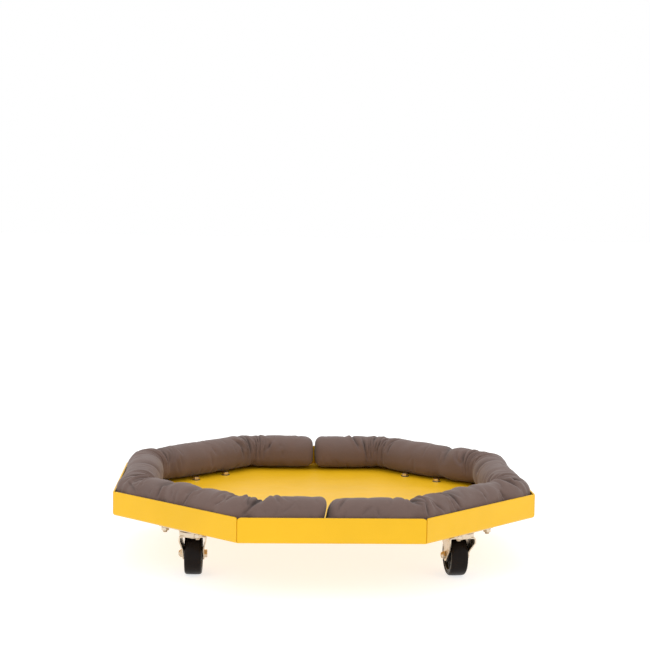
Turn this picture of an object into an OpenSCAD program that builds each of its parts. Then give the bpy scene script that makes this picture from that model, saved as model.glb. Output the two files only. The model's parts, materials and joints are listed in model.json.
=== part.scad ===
// Octagonal spill-containing drum dolly: a pan folded from one steel sheet, on four
// plate-mounted swivel casters, with two absorbent socks laid end to end inside its flanges.
// Frame: +Z up, origin on the ground under the middle of the pan, one flat flange facing -Y.

/* [Pan] */
// Distance between the outer faces of opposite flanges
across_flats = 787; // [720:1:1000]
// Height of a flange, from the pan's underside to its free edge
flange_height = 45; // [30:1:80]
// Thickness of the folded sheet
sheet_thickness = 3; // [2:0.5:5]
// Inside radius of the folds
fold_radius = 3; // [1:0.5:6]
// Radius of the flanges' free top corners
flange_corner_radius = 5; // [2:0.5:12]
// Width of the groove outside between two flanges
seam_width = 1.6; // [0.5:0.1:3]
// Radius of the weld bead inside each corner
weld_radius = 2.5; // [2:0.25:4]

/* [Socks] */
// Width of a sock where it lies on the pan
sock_width = 79; // [60:1:100]
// How much lower than wide a sock lies
sock_flattening = 8; // [0:1:20]
// Radius of the sock's middle line round the pan's corners
sock_bend_radius = 90; // [60:1:140]
// Space between the two socks where their ends meet
sock_end_gap = 3; // [1:0.5:20]
// Radius of the rounding round a sock's ends
sock_end_radius = 16; // [6:1:24]
// Space left round a sock, to the flange, the floor and the bolt heads
sock_clearance = 0.6; // [0.3:0.1:3]

/* [Caster plates] */
// Length of a caster's top plate, along the flange beside it
plate_length = 104.8; // [95:0.1:130]
// Width of the top plate, towards the middle of the pan
plate_width = 79.4; // [76:0.1:100]
// Thickness of the top plate
plate_thickness = 3; // [2:0.5:4]
// Corner radius of the top plate
plate_corner_radius = 8; // [3:0.5:12]
// Distance from the flange's inner face to the top plate
plate_inset = 7.8; // [4:0.1:40]
// Distance from a bolt to the plate's nearer end
bolt_end_margin = 9.55; // [8:0.05:14]
// Distance from a bolt to the plate's nearer side
bolt_side_margin = 11.1; // [8:0.1:14]

/* [Swivels] */
// Diameter of the kingpin
kingpin_diameter = 10; // [8:0.5:12]
// Diameter of the swivel crown round the balls
crown_diameter = 50; // [46:1:56]
// Height of the crown's rim
crown_height = 9; // [5:0.5:11]
// Diameter of a bearing ball
ball_diameter = 6; // [3:0.1:7]
// Depth of the dish pressed down in the top plate
dish_depth = 7; // [4.5:0.5:8]
// Direction that each caster trails in, from the rear right one counterclockwise
trail_headings = [87, 95, 89, 97]; // [0:1:360]

/* [Forks and wheels] */
// Wheel diameter over the tread
wheel_diameter = 76; // [60:1:100]
// Width of the tread
wheel_width = 31.5; // [25:0.5:36]
// Horizontal distance from the kingpin to the axle
trail = 32; // [24:1:40]
// Thickness of the fork's sheet
fork_thickness = 2.5; // [2:0.25:4]
// Space between the tread and each fork leg
tread_side_gap = 1.5; // [1:0.25:4]
// Space between the tread and the fork's web
tread_top_gap = 2.5; // [2:0.5:10]
// Radius of the fork's rounded end round the axle
fork_end_radius = 11; // [9:0.5:14]
// Thickness of the tread, from the wheel's core outwards
tread_thickness = 8; // [4:0.5:12]

/* [Fasteners] */
// Diameter of the plate bolts
bolt_diameter = 8; // [6:0.5:9]
// Width across the flats of the plate bolts' heads and nuts
bolt_head_width = 13; // [11:0.5:16]
// Height of the plate bolts' heads
bolt_head_height = 5.3; // [4:0.1:7]
// Height of the plate bolts' nuts
nut_height = 6.5; // [4:0.1:8]
// Thread that shows below the nut
bolt_tail = 3.5; // [1:0.5:6]
// Diameter of the axle bolt
axle_diameter = 8; // [6:0.5:10]
// Wall of the sleeve that the wheel turns on
sleeve_wall = 1.9; // [1.5:0.1:3]

/* [Hidden] */
CORNERS = ["rear_right", "rear_left", "front_left", "front_right"];
CASTER_PARTS = ["top_plate", "kingpin", "balls", "retaining_washer", "fork", "axle_bolt",
    "axle_nut", "axle_sleeve", "wheel_core", "tread"];
$fn = 64;

eps = 0.01;
half_side_angle = 180 / 8;
fit = 0.05; // play of a shaft in its hole, all round
assembly_gap = 0.3; // space between pieces that turn past each other

// Caster, from the ground up
wheel_radius = wheel_diameter / 2;
axle_z = wheel_radius;
web_z = wheel_diameter + tread_top_gap;
race_z = web_z + fork_thickness;
dish_z = race_z + ball_diameter + 2 * fit;
plate_z = dish_z + dish_depth;
pan_z = plate_z + plate_thickness;
crown_radius = crown_diameter / 2;
ball_circle_radius = crown_radius - fork_thickness - 2 * fit - ball_diameter / 2 - 1;
dish_radius = ball_circle_radius + 2;
kingpin_radius = kingpin_diameter / 2;
kingpin_head_radius = kingpin_radius + 6;
kingpin_head_height = 4;
rivet_radius = kingpin_radius + 3;
rivet_height = 2.5;
washer_radius = kingpin_radius + 7;
retainer_thickness = 2;
retainer_z = web_z - assembly_gap - retainer_thickness;
rivet_z = retainer_z - rivet_height;

// Fork
fork_gap = wheel_width + 2 * tread_side_gap;
leg_outside = fork_gap / 2 + fork_thickness;
shoulder_outside = crown_radius - 0.5;
shoulder_z = web_z - 8;
leg_knee_z = web_z - 28;
leg_back_x = -crown_radius + 5;
leg_front_x = trail + fork_end_radius - 2;
axle_radius = axle_diameter / 2;
sleeve_radius = axle_radius + 2 * fit + sleeve_wall;
axle_head_width = axle_diameter + 5;
axle_head_height = 5.3;
axle_nut_height = 6.8;

// Wheel
core_radius = wheel_radius - tread_thickness;
rim_thickness = 4;
hub_radius = sleeve_radius + 6;
hub_length = fork_gap - 2 * assembly_gap;
core_web_thickness = 9;
rib_count = 8;
rib_thickness = 2.6;
tread_edge_radius = 3.5;

// Pan
pan_apothem = across_flats / 2;
wall_apothem = pan_apothem - sheet_thickness;
fold_height = sheet_thickness + fold_radius;
pan_floor_z = pan_z + sheet_thickness;

// Casters on the pan
caster_radius = wall_apothem - plate_inset - plate_width / 2;
bolt_spacing_length = plate_length - 2 * bolt_end_margin;
bolt_spacing_width = plate_width - 2 * bolt_side_margin;
bolt_radius = bolt_diameter / 2;
bolt_hole_radius = bolt_radius + 0.3;
seal_thickness = 1.5;
seal_radius = bolt_head_width / 2 + 2;
lock_washer_thickness = 2;
lock_washer_radius = bolt_radius + 2.8;
nut_z = plate_z - lock_washer_thickness - nut_height;
bolt_end_z = nut_z - bolt_tail;
bolt_top_z = pan_floor_z + seal_thickness + bolt_head_height;

// Socks
sock_height = sock_width - sock_flattening;
sock_z = pan_floor_z + sock_clearance;
sock_apothem = wall_apothem - sock_clearance - sock_width / 2;
SOCK_ARC = 12; // steps round each side of a sock
END_STEPS = 5; // rings over a rounded end
BEND_STEPS = 6; // rings round a corner
head_pocket_radius = seal_radius + sock_clearance;

// Place of something on the centre of caster i's plate, its X pointing out of the pan
module at_plate(i) {
    rotate([0, 0, 45 + 90 * i]) translate([caster_radius, 0, 0]) children();
}

// Place of something on caster i's kingpin, its X pointing the way the caster trails
module at_fork(i) {
    angle = 45 + 90 * i;
    translate([caster_radius * cos(angle), caster_radius * sin(angle), 0])
        rotate([0, 0, trail_headings[i]]) children();
}

// The four bolt places of a plate
module plate_bolts() {
    for (x = [-1, 1], y = [-1, 1]) {
        translate([x * bolt_spacing_width / 2, y * bolt_spacing_length / 2, 0]) children();
    }
}

module every_bolt() {
    for (i = [0:3]) at_plate(i) plate_bolts() children();
}

module hex(width, height) {
    cylinder(h = height, d = width / cos(30), $fn = 6);
}

module ring(outer, inner, height) {
    difference() {
        cylinder(h = height, r = outer);
        translate([0, 0, -1]) cylinder(h = height + 2, r = inner);
    }
}

// A rectangle with rounded corners, centred
module rounded_rectangle(length, width, radius) {
    square([length - 2 * radius, width], center = true);
    square([length, width - 2 * radius], center = true);
    for (x = [-1, 1], y = [-1, 1]) {
        translate([x * (length / 2 - radius), y * (width / 2 - radius)]) circle(r = radius);
    }
}

// ---- Pan ----

// Trough across the pan with a rounded bottom: X across, Y up from its lowest line
module trough_section(apothem, radius, height) {
    translate([-apothem, radius]) square([2 * apothem, height - radius]);
    translate([radius - apothem, 0]) square([2 * (apothem - radius), radius + 1]);
    for (side = [-1, 1]) translate([side * (apothem - radius), radius]) circle(r = radius);
}

// Solid octagon with rounded bottom edges: where troughs in four directions cross
module octagon_form(apothem, radius, height) {
    intersection_for (k = [0:3]) {
        rotate([0, 0, 45 * k]) rotate([90, 0, 0])
            linear_extrude(3 * apothem, center = true) trough_section(apothem, radius, height);
    }
}

// Notch through the wall at a corner, which rounds the free corners of both flanges there
module corner_notch() {
    radius = flange_corner_radius;
    half_foot = seam_width / 3;
    translate([wall_apothem - 1, 0, flange_height - radius]) rotate([90, 0, 90])
        linear_extrude(pan_apothem / cos(half_side_angle) - wall_apothem + 2) difference() {
            translate([-half_foot - radius, 0]) square([2 * (half_foot + radius), radius + 1]);
            for (side = [-1, 1]) translate([side * (half_foot + radius), 0]) circle(r = radius);
        }
}

// Bead up the inside of a corner, from the floor to the rounded free corners
module corner_weld() {
    foot = sheet_thickness / 2;
    bead_top = flange_height - flange_corner_radius - 1;
    translate([wall_apothem / cos(half_side_angle) - weld_radius / 2, 0, foot])
        cylinder(h = bead_top - foot, r = weld_radius);
}

// Groove left outside between the edges of two flanges
module corner_seam() {
    depth = sheet_thickness * 0.7;
    translate([pan_apothem / cos(half_side_angle) - depth, -seam_width / 2, fold_height / 2])
        cube([depth + 1, seam_width, flange_height]);
}

module deck_pan() {
    color("gold") difference() {
        translate([0, 0, pan_z]) difference() {
            union() {
                difference() {
                    octagon_form(pan_apothem, fold_height, flange_height);
                    translate([0, 0, sheet_thickness])
                        octagon_form(wall_apothem, fold_radius, flange_height);
                }
                for (k = [0:7]) rotate([0, 0, 45 * k + half_side_angle]) corner_weld();
            }
            for (k = [0:7]) rotate([0, 0, 45 * k + half_side_angle]) {
                corner_seam();
                corner_notch();
            }
        }
        every_bolt() translate([0, 0, pan_z - 1])
            cylinder(h = sheet_thickness + 2, r = bolt_hole_radius);
    }
}

// ---- Fasteners of the plates ----

module caster_bolts() {
    color("silver") every_bolt() {
        translate([0, 0, bolt_end_z]) cylinder(h = bolt_top_z - bolt_end_z - 1, r = bolt_radius);
        translate([0, 0, pan_floor_z + seal_thickness]) hex(bolt_head_width, bolt_head_height);
    }
}

module sealing_washers() {
    color("dimgray") every_bolt()
        translate([0, 0, pan_floor_z]) ring(seal_radius, bolt_radius + fit, seal_thickness);
}

// Split spring washers
module lock_washers() {
    color("silver") every_bolt() translate([0, 0, nut_z + nut_height]) difference() {
        ring(lock_washer_radius, bolt_radius + fit, lock_washer_thickness);
        translate([0, -0.5, -1]) cube([lock_washer_radius + 1, 1, lock_washer_thickness + 2]);
    }
}

module caster_nuts() {
    color("silver") every_bolt() translate([0, 0, nut_z]) difference() {
        hex(bolt_head_width, nut_height);
        translate([0, 0, -1]) cylinder(h = nut_height + 2, r = bolt_radius + fit);
    }
}

// ---- Socks ----

// Cut through a sock, drawn in from its surface by inset: X outwards, Y up
function sock_section(inset) =
    let (spread = (sock_width - sock_height) / 2, radius = sock_height / 2 - inset)
    [for (side = [1, -1]) for (k = [0:SOCK_ARC])
        let (a = -90 * side + 180 * k / SOCK_ARC)
            [side * spread + radius * cos(a), sock_height / 2 + radius * sin(a)]];

// Ring of points across a sock at place, where its middle line runs towards heading
function sock_ring(place, heading, inset) =
    [for (p = sock_section(inset))
        [place[0] + p[0] * sin(heading), place[1] - p[0] * cos(heading), sock_z + p[1]]];

// Rings over a rounded end, from its tip: tip is the end's place, step the way into the sock
function sock_end(tip, heading, step) =
    [for (k = [0:END_STEPS])
        let (a = 90 * k / END_STEPS, depth = sock_end_radius * (1 - cos(a)))
            sock_ring([tip[0] + step * depth, tip[1]], heading, sock_end_radius * (1 - sin(a)))];

// Rings round one corner of the pan
function sock_bend(corner) =
    let (centre = (sock_apothem - sock_bend_radius) / cos(half_side_angle))
    [for (k = [0:BEND_STEPS])
        let (a = corner - half_side_angle + 45 * k / BEND_STEPS)
            sock_ring(centre * [cos(corner), sin(corner)] + sock_bend_radius * [cos(a), sin(a)],
                a + 90, 0)];

function flat(lists) = [for (list = lists) each list];

// The same list from its other end
function reversed(list) = [for (k = [len(list) - 1:-1:0]) list[k]];

// Skin over a list of rings, with its two ends closed
module skin(rings) {
    n = len(rings[0]);
    last = len(rings) - 1;
    walls = [for (r = [0:last - 1]) for (k = [0:n - 1])
        let (a = r * n + k, b = r * n + (k + 1) % n)
            each [[a, b, b + n], [a, b + n, a + n]]];
    polyhedron(
        points = flat(rings),
        faces = concat([[for (k = [n - 1:-1:0]) k]], walls, [[for (k = [0:n - 1]) last * n + k]])
    );
}

// Sock on the +X side, from the front to the back of the pan
module half_ring() {
    tip = sock_end_gap / 2;
    rings = concat(
        sock_end([tip, -sock_apothem], 0, 1),
        flat([for (corner = [-67.5, -22.5, 22.5, 67.5]) sock_bend(corner)]),
        reversed(sock_end([tip, sock_apothem], 180, 1))
    );
    difference() {
        skin(rings);
        // room for the bolt heads that the sock lies on
        every_bolt() translate([0, 0, sock_z - 1])
            cylinder(h = bolt_top_z + sock_clearance - sock_z + 1, r = head_pocket_radius);
    }
}

module sock_left() {
    color("tan") mirror([1, 0, 0]) half_ring();
}

module sock_right() {
    color("tan") half_ring();
}

// ---- Caster, each piece in its own place over the ground ----

module top_plate() {
    color("silver") difference() {
        union() {
            translate([0, 0, plate_z]) linear_extrude(plate_thickness)
                rounded_rectangle(plate_width, plate_length, plate_corner_radius);
            translate([0, 0, dish_z])
                cylinder(h = dish_depth + eps, r1 = dish_radius, r2 = dish_radius + 2);
        }
        translate([0, 0, dish_z + plate_thickness])
            cylinder(h = dish_depth + 1, r = dish_radius - plate_thickness);
        translate([0, 0, dish_z - 1]) cylinder(h = plate_thickness + 2, r = kingpin_radius + fit);
        plate_bolts() translate([0, 0, plate_z - 1])
            cylinder(h = plate_thickness + 2, r = bolt_hole_radius);
    }
}

// Rivet that holds the swivel together, with its upper head in the dish
module kingpin() {
    head_z = dish_z + plate_thickness;
    color("silver") {
        translate([0, 0, head_z]) cylinder(h = kingpin_head_height, r = kingpin_head_radius);
        translate([0, 0, rivet_z + eps]) cylinder(h = head_z - rivet_z, r = kingpin_radius);
        translate([0, 0, rivet_z])
            cylinder(h = rivet_height, r1 = kingpin_radius + 1, r2 = rivet_radius);
    }
}

module retaining_washer() {
    color("silver") translate([0, 0, retainer_z])
        ring(washer_radius, kingpin_radius + fit, retainer_thickness);
}

module balls() {
    count = floor(2 * PI * ball_circle_radius / (ball_diameter + 0.6));
    color("silver") for (k = [0:count - 1]) {
        rotate([0, 0, 360 * k / count])
            translate([ball_circle_radius, 0, race_z + fit + ball_diameter / 2])
                sphere(d = ball_diameter, $fn = 32);
    }
}

// Point where a line from point touches the circle of radius r at centre
function touch(point, centre, r, side) =
    let (
        away = point - centre,
        turn = atan2(away[1], away[0]) + side * acos(r / norm(away))
    ) centre + r * [cos(turn), sin(turn)];

// Side of the fork: X the way it trails, Y up
module fork_side() {
    axle = [trail, axle_z];
    back = [leg_back_x, shoulder_z];
    front = [leg_front_x, shoulder_z];
    translate(axle) circle(r = fork_end_radius);
    polygon([
        [leg_back_x, race_z],
        back,
        touch(back, axle, fork_end_radius, 1),
        touch(front, axle, fork_end_radius, -1),
        front,
        [leg_front_x, race_z]
    ]);
}

// Half outline of the fork seen along the way it trails, at one sheet surface
function leg_line(leg, shoulder, top) = [
    [leg, 0], [leg, leg_knee_z], [shoulder, shoulder_z], [shoulder, top]
];

// The same outline on the other side, in reverse order
function mirrored(outline) =
    [for (k = [len(outline) - 1:-1:0]) [-outline[k][0], outline[k][1]]];

module fork_front() {
    outer = leg_line(leg_outside, shoulder_outside, race_z - 1.5);
    inner = leg_line(leg_outside - fork_thickness, shoulder_outside - fork_thickness, web_z);
    roof = [[shoulder_outside - 1.5, race_z]];
    outline = concat(outer, roof);
    difference() {
        polygon(concat(outline, mirrored(outline)));
        polygon(concat(inner, mirrored(inner)));
    }
}

module fork() {
    color("silver") difference() {
        union() {
            intersection() {
                translate([leg_back_x - 1, 0, 0]) rotate([90, 0, 90])
                    linear_extrude(leg_front_x - leg_back_x + 2) fork_front();
                rotate([90, 0, 0]) linear_extrude(2 * crown_radius, center = true) fork_side();
            }
            translate([0, 0, web_z]) cylinder(h = fork_thickness, r = crown_radius);
            translate([0, 0, web_z]) ring(crown_radius, crown_radius - fork_thickness, crown_height);
        }
        translate([0, 0, web_z - 1]) cylinder(h = fork_thickness + 2, r = kingpin_radius + fit);
        translate([trail, 0, axle_z]) rotate([90, 0, 0])
            cylinder(h = 2 * crown_diameter, r = axle_radius + fit, center = true);
    }
}

// Place on the axle: Z along it, from the fork's right leg to its left one
module on_axle(along) {
    translate([trail, along, axle_z]) rotate([-90, 0, 0]) children();
}

module axle_bolt() {
    length = 2 * leg_outside + axle_nut_height + 1;
    color("silver") {
        on_axle(-leg_outside - axle_head_height) hex(axle_head_width, axle_head_height);
        on_axle(-leg_outside - 1) cylinder(h = length + 1, r = axle_radius);
    }
}

module axle_nut() {
    color("silver") on_axle(leg_outside) difference() {
        hex(axle_head_width, axle_nut_height);
        translate([0, 0, -1]) cylinder(h = axle_nut_height + 2, r = axle_radius + fit);
    }
}

module axle_sleeve() {
    color("silver") on_axle(-fork_gap / 2) ring(sleeve_radius, axle_radius + 2 * fit, fork_gap);
}

// Moulded core: hub, web, rim and the ribs between them
module wheel_core() {
    rim_width = wheel_width - 2;
    color("dimgray") on_axle(0) difference() {
        union() {
            cylinder(h = hub_length, r = hub_radius, center = true);
            cylinder(h = core_web_thickness, r = core_radius, center = true);
            difference() {
                cylinder(h = rim_width, r = core_radius, center = true);
                cylinder(h = rim_width + 2, r = core_radius - rim_thickness, center = true);
            }
            for (k = [0:rib_count - 1]) rotate([0, 0, 360 * k / rib_count])
                translate([(hub_radius + core_radius) / 2, 0, 0]) cube([
                    core_radius - hub_radius - rim_thickness + 2,
                    rib_thickness,
                    rim_width - 6
                ], center = true);
        }
        cylinder(h = hub_length + 2, r = sleeve_radius + fit, center = true);
    }
}

// Smooth tread with rounded edges
module tread() {
    radius = tread_edge_radius;
    half = wheel_width / 2;
    color("black") on_axle(0) rotate_extrude() {
        translate([core_radius, -half]) square([tread_thickness - radius, wheel_width]);
        translate([core_radius, -half + radius]) square([tread_thickness, wheel_width - 2 * radius]);
        for (side = [-1, 1]) {
            translate([wheel_radius - radius, side * (half - radius)]) circle(r = radius);
        }
    }
}

deck_pan();
sock_left();
sock_right();
caster_bolts();
sealing_washers();
lock_washers();
caster_nuts();

for (i = [0:3]) {
    corner = CORNERS[i];
    at_plate(i) top_plate();
    at_fork(i) kingpin();
    at_fork(i) balls();
    at_fork(i) retaining_washer();
    at_fork(i) fork();
    at_fork(i) axle_bolt();
    at_fork(i) axle_nut();
    at_fork(i) axle_sleeve();
    at_fork(i) wheel_core();
    at_fork(i) tread();
}
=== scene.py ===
"""Octagonal drum dolly: powder-coated steel pan, absorbent socks and plated swivel casters."""

import json
import math
import random

import bpy
import numpy as np
from mathutils import Matrix, Vector


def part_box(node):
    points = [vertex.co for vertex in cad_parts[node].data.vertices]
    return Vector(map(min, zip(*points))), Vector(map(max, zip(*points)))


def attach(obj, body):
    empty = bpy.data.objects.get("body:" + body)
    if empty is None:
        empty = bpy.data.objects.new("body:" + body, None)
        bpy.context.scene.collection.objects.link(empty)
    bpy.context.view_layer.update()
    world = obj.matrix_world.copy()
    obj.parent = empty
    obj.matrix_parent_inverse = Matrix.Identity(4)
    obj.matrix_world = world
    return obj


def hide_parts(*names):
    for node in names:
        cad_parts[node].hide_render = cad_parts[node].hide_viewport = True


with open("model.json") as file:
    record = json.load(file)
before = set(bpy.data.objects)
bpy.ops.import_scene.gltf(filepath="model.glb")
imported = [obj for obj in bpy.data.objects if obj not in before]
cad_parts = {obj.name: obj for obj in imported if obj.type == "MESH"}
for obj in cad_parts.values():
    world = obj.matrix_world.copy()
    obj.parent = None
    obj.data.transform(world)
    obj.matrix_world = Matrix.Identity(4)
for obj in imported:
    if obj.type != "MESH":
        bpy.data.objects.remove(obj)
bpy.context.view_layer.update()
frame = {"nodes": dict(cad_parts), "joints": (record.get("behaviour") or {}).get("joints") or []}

bl_info = {
    "name": "Drum dolly",
    "version": (1, 0, 0),
    "blender": (4, 5, 0),
    "location": "3D View > Sidebar > Drum dolly",
    "description": "Builds the looks of an octagonal drum dolly around its packed frame",
    "category": "Add Mesh",
}

CORNERS = ("rear_right", "rear_left", "front_left", "front_right")
JOINTS = {joint["name"]: joint for joint in frame["joints"]}
MM = 0.001
EIGHTH = math.tau / 8


# ---- Materials ----


class Shader:
    """One node material, built from left to right."""

    def __init__(self, name):
        self.material = bpy.data.materials.new(name)
        self.material.use_nodes = True
        self.tree = self.material.node_tree
        self.surface = self.tree.nodes["Principled BSDF"]
        self.place = self.node("ShaderNodeTexCoord").outputs["Object"]

    def node(self, kind, **values):
        made = self.tree.nodes.new(kind)
        for key, value in values.items():
            setattr(made, key, value)
        return made

    def link(self, source, socket):
        self.tree.links.new(source, socket)

    def constant(self, **values):
        """Sets the surface's own sockets, with _ for each space in a socket's name."""
        for key, value in values.items():
            self.surface.inputs[key.replace("_", " ")].default_value = value

    def noise(self, scale, detail=4.0, roughness=0.55, vector=None):
        made = self.node("ShaderNodeTexNoise")
        made.inputs["Scale"].default_value = scale
        made.inputs["Detail"].default_value = detail
        made.inputs["Roughness"].default_value = roughness
        self.link(vector or self.place, made.inputs["Vector"])
        return made.outputs["Fac"]

    def stretched(self, scale, source=None):
        """The coordinates, stretched by three factors."""
        made = self.node("ShaderNodeMapping")
        made.inputs["Scale"].default_value = scale
        self.link(source or self.place, made.inputs["Vector"])
        return made.outputs["Vector"]

    def cells(self, scale, vector):
        made = self.node("ShaderNodeTexVoronoi", feature="F1")
        made.inputs["Scale"].default_value = scale
        self.link(vector, made.inputs["Vector"])
        return made.outputs["Distance"]

    def span(self, value, low, high, start=0.0, end=1.0):
        """Value from low to high, spread to start to end and held there."""
        made = self.node("ShaderNodeMapRange", clamp=True)
        self.link(value, made.inputs["Value"])
        for key, number in zip(("From Min", "From Max", "To Min", "To Max"), (low, high, start, end)):
            made.inputs[key].default_value = number
        return made.outputs["Result"]

    def mix(self, factor, first, second, blend="MIX"):
        """Two colours mixed; each is a colour or an output."""
        made = self.node("ShaderNodeMix", data_type="RGBA", blend_type=blend)
        for key, value in ((0, factor), (6, first), (7, second)):
            if isinstance(value, bpy.types.NodeSocket):
                self.link(value, made.inputs[key])
            elif isinstance(value, (int, float)):
                made.inputs[key].default_value = value
            else:
                made.inputs[key].default_value = (*value, 1.0)
        return made.outputs[2]

    def times(self, value, factor):
        made = self.node("ShaderNodeMath", operation="MULTIPLY")
        self.link(value, made.inputs[0])
        made.inputs[1].default_value = factor
        return made.outputs[0]

    def height(self, value, strength, distance, before=None):
        made = self.node("ShaderNodeBump")
        made.inputs["Strength"].default_value = strength
        made.inputs["Distance"].default_value = distance
        self.link(value, made.inputs["Height"])
        if before is not None:
            self.link(before, made.inputs["Normal"])
        return made.outputs["Normal"]

    def finish(self, colour=None, roughness=None, normal=None):
        for key, value in (("Base Color", colour), ("Roughness", roughness), ("Normal", normal)):
            if value is not None:
                self.link(value, self.surface.inputs[key])
        return self.material


def powder_coat(colour):
    """Yellow powder coat: a fine orange peel, faint clouding and a few lighter scuffs."""
    shader = Shader("powder_coat")
    deep = [channel * 0.93 for channel in colour]
    cloud = shader.span(shader.noise(6.0, 3.0), 0.35, 0.65)
    tone = shader.mix(cloud, colour, deep)
    scuffs = shader.noise(40.0, 6.0, 0.7, shader.stretched((1.0, 1.0, 6.0)))
    worn = shader.span(scuffs, 0.68, 0.76, 0.0, 0.25)
    tone = shader.mix(worn, tone, [min(1.0, channel * 1.08 + 0.02) for channel in colour])
    peel = shader.noise(520.0, 2.0, 0.5)
    fine = shader.noise(1600.0, 1.0, 0.5)
    normal = shader.height(fine, 0.12, 0.0002, shader.height(peel, 0.22, 0.0006))
    rough = shader.span(shader.noise(25.0, 4.0), 0.3, 0.7, 0.34, 0.46)
    shader.constant(Specular_IOR_Level=0.3)
    return shader.finish(tone, rough, normal)


def plated_steel(name, colour, rough, brushed):
    """Bright zinc plating, a little blotchy, with fine rolling or turning marks."""
    shader = Shader(name)
    blotch = shader.span(shader.noise(60.0, 5.0, 0.6), 0.35, 0.7)
    warm = [colour[0] * 0.97, colour[1] * 0.93, colour[2] * 0.84]
    tone = shader.mix(blotch, colour, warm)
    stain = shader.span(shader.noise(220.0, 4.0, 0.65), 0.62, 0.75, 0.0, 0.35)
    tone = shader.mix(stain, tone, [channel * 0.6 for channel in colour])
    marks = shader.noise(260.0, 3.0, 0.6, shader.stretched((1.0, brushed, 1.0)))
    normal = shader.height(marks, 0.25, 0.0001)
    roughness = shader.span(shader.noise(90.0, 4.0), 0.3, 0.7, rough - 0.07, rough + 0.09)
    shader.constant(Metallic=1.0)
    return shader.finish(tone, roughness, normal)


def bearing_steel(colour):
    """Ground balls under a film of amber grease."""
    shader = Shader("bearing_steel")
    film = shader.span(shader.noise(300.0, 3.0), 0.45, 0.6)
    tone = shader.mix(film, colour, (0.42, 0.30, 0.12))
    shader.constant(Metallic=1.0, Coat_Weight=0.5, Coat_Roughness=0.1)
    return shader.finish(tone, shader.span(film, 0.0, 1.0, 0.08, 0.3))


def seal_rubber(colour):
    """Dull black sealing washer."""
    shader = Shader("seal_rubber")
    grain = shader.noise(900.0, 3.0)
    tone = shader.mix(shader.span(grain, 0.3, 0.7), colour, [channel * 1.8 for channel in colour])
    return shader.finish(tone, shader.span(grain, 0.3, 0.7, 0.6, 0.8), shader.height(grain, 0.3, 0.0002))


def wheel_plastic(colour):
    """Moulded core with a satin skin and faint flow marks."""
    shader = Shader("wheel_plastic")
    flow = shader.noise(45.0, 3.0, 0.5, shader.stretched((1.0, 1.0, 0.4)))
    tone = shader.mix(shader.span(flow, 0.35, 0.65), colour, [channel * 1.5 for channel in colour])
    grain = shader.noise(1200.0, 2.0)
    return shader.finish(tone, shader.span(flow, 0.3, 0.7, 0.38, 0.5), shader.height(grain, 0.15, 0.0002))


def tread_rubber(colour):
    """Smooth black tread, polished in places and greyed where it has rolled."""
    shader = Shader("tread_rubber")
    rolled = shader.span(shader.noise(55.0, 6.0, 0.65), 0.5, 0.72, 0.0, 0.5)
    tone = shader.mix(rolled, colour, (0.015, 0.010, 0.008))
    grain = shader.noise(700.0, 4.0, 0.6)
    normal = shader.height(grain, 0.2, 0.0003)
    shader.constant(Specular_IOR_Level=0.12)
    return shader.finish(tone, shader.span(rolled, 0.0, 0.5, 0.33, 0.55), normal)


def sock_fabric(colour):
    """Grey non-woven fabric: point-bonded fibres, cloudy lay-down, painted shade in the creases."""
    shader = Shader("sock_fabric")
    cut = shader.node("ShaderNodeUVMap", uv_map="cut").outputs["UV"]
    cloud = shader.span(shader.noise(16.0, 5.0, 0.6), 0.3, 0.7)
    tone = shader.mix(cloud, [c * 0.88 for c in colour], [c * 1.1 for c in colour])
    fibres = shader.noise(900.0, 3.0, 0.7, shader.stretched((1.0, 0.25, 1.0), cut))
    tone = shader.mix(shader.span(fibres, 0.3, 0.7, 0.0, 0.35), tone, [c * 0.68 for c in colour])
    bonds = shader.cells(620.0, cut)
    tone = shader.mix(shader.span(bonds, 0.12, 0.34, 0.3, 0.0), tone, [c * 1.35 for c in colour])
    speck = shader.span(shader.noise(240.0, 3.0, 0.7), 0.68, 0.76, 0.0, 0.4)
    tone = shader.mix(speck, tone, [c * 0.45 for c in colour])
    # Painted shade: the fabric is darkened where the creases are pressed in, more the deeper they lie.
    crease_shade = shader.node("ShaderNodeAttribute", attribute_name="crease_shade").outputs["Fac"]
    tone = shader.mix(shader.times(crease_shade, 0.8), tone, [c * 0.28 for c in colour])
    bump = shader.height(bonds, 0.35, 0.0003)
    bump = shader.height(fibres, 0.25, 0.0002, bump)
    bump = shader.height(shader.noise(85.0, 4.0, 0.6), 0.35, 0.0016, bump)
    shader.constant(Sheen_Weight=0.12, Sheen_Roughness=0.45)
    return shader.finish(tone, shader.span(cloud, 0.0, 1.0, 0.78, 0.9), bump)


# ---- Modelling ----


def select_only(piece):
    bpy.ops.object.select_all(action="DESELECT")
    piece.select_set(True)
    bpy.context.view_layer.objects.active = piece


def named(name):
    """The active object, under its own name."""
    piece = bpy.context.active_object
    piece.name = name
    piece.data.name = name
    return piece


def paint(piece, material):
    piece.data.materials.clear()
    piece.data.materials.append(material)


def linked(name, mesh):
    piece = bpy.data.objects.new(name, mesh)
    bpy.context.scene.collection.objects.link(piece)
    return piece


def edited(piece, change):
    """Makes a change to all of a piece's mesh in edit mode, and turns its normals outwards."""
    select_only(piece)
    bpy.ops.object.mode_set(mode="EDIT")
    bpy.ops.mesh.select_all(action="SELECT")
    change()
    bpy.ops.mesh.select_all(action="SELECT")
    bpy.ops.mesh.normals_make_consistent(inside=False)
    bpy.ops.object.mode_set(mode="OBJECT")
    return piece


def pull(*way):
    """Extrudes what is selected along a way."""
    bpy.ops.mesh.extrude_region_move(TRANSFORM_OT_translate={"value": way})


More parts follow.
